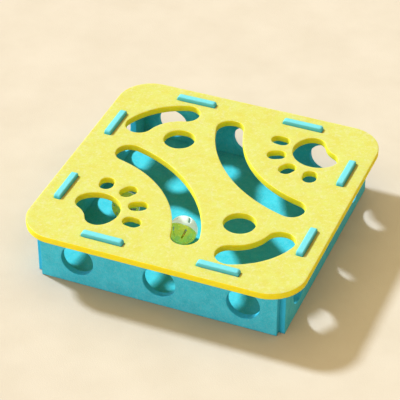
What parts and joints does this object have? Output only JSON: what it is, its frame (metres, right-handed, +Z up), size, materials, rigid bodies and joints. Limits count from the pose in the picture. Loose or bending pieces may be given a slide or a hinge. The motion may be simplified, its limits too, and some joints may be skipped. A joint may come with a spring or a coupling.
{
  "type": "cat felt maze box",
  "caption": "Square felt play box for cats: a lid with curved slots, round holes and paw cut-outs is locked by tabs on a folded tray with round side holes; slotted bell balls roll inside.",
  "frame": {"origin": "on the ground under the middle of the box", "axes": "+Z up, front wall towards -Y, +X to the right of the front wall"},
  "size_m": [0.3, 0.3, 0.0675],
  "materials": {
    "lid_felt": "yellow pressed felt",
    "tray_felt": "teal pressed felt",
    "ball_clear": "milky clear plastic",
    "ball_green": "translucent lime plastic",
    "bell_brass": "plated sheet metal",
    "pellet_steel": "bright steel"
  },
  "bodies": {
    "tray": {"floor_panel": "tray_felt", "front_wall": "tray_felt", "right_wall": "tray_felt", "back_wall": "tray_felt", "left_wall": "tray_felt"},
    "lid": {"lid_panel": "lid_felt"},
    "middle_bell": {"middle_bell_top": "bell_brass", "middle_bell_bottom": "bell_brass"},
    "middle_ball": {"middle_ball_cap": "ball_clear", "middle_ball_cup": "ball_green"},
    "middle_pellet": {"middle_bell_pellet": "pellet_steel"},
    "left_bell": {"left_bell_top": "bell_brass", "left_bell_bottom": "bell_brass"},
    "left_ball": {"left_ball_cap": "ball_clear", "left_ball_cup": "ball_green"},
    "left_pellet": {"left_bell_pellet": "pellet_steel"}
  },
  "joints": [
    {"name": "lid_lift", "type": "slide", "parent": "tray", "child": "lid", "axis": [0, 0, 1], "range_m": [0, 0.12]},
    {"name": "middle_ball_run", "type": "slide", "parent": "tray", "child": "middle_bell", "axis": [0, 1, 0], "range_m": [-0.0675, 0.1465]},
    {"name": "middle_ball_roll", "type": "hinge", "parent": "middle_bell", "child": "middle_ball", "pos_m": [-0.0105, -0.0395, 0.02305], "axis": [1, 0, 0], "range_deg": [-581, 284]},
    {"name": "middle_pellet_bounce", "type": "slide", "parent": "middle_bell", "child": "middle_pellet", "axis": [0, 0, 1], "range_m": [0, 0.0062]},
    {"name": "left_ball_run", "type": "slide", "parent": "tray", "child": "left_bell", "axis": [0, 1, 0], "range_m": [-0.0835, 0.1305]},
    {"name": "left_ball_roll", "type": "hinge", "parent": "left_bell", "child": "left_ball", "pos_m": [-0.083, -0.0235, 0.02305], "axis": [1, 0, 0], "range_deg": [-521, 344]},
    {"name": "left_pellet_bounce", "type": "slide", "parent": "left_bell", "child": "left_pellet", "axis": [0, 0, 1], "range_m": [0, 0.0062]}
  ],
  "couplings": [
    {"joint": "middle_ball_roll", "follows": "middle_ball_run", "rad_per_m": -65.574},
    {"joint": "left_ball_roll", "follows": "left_ball_run", "rad_per_m": -65.574}
  ]
}
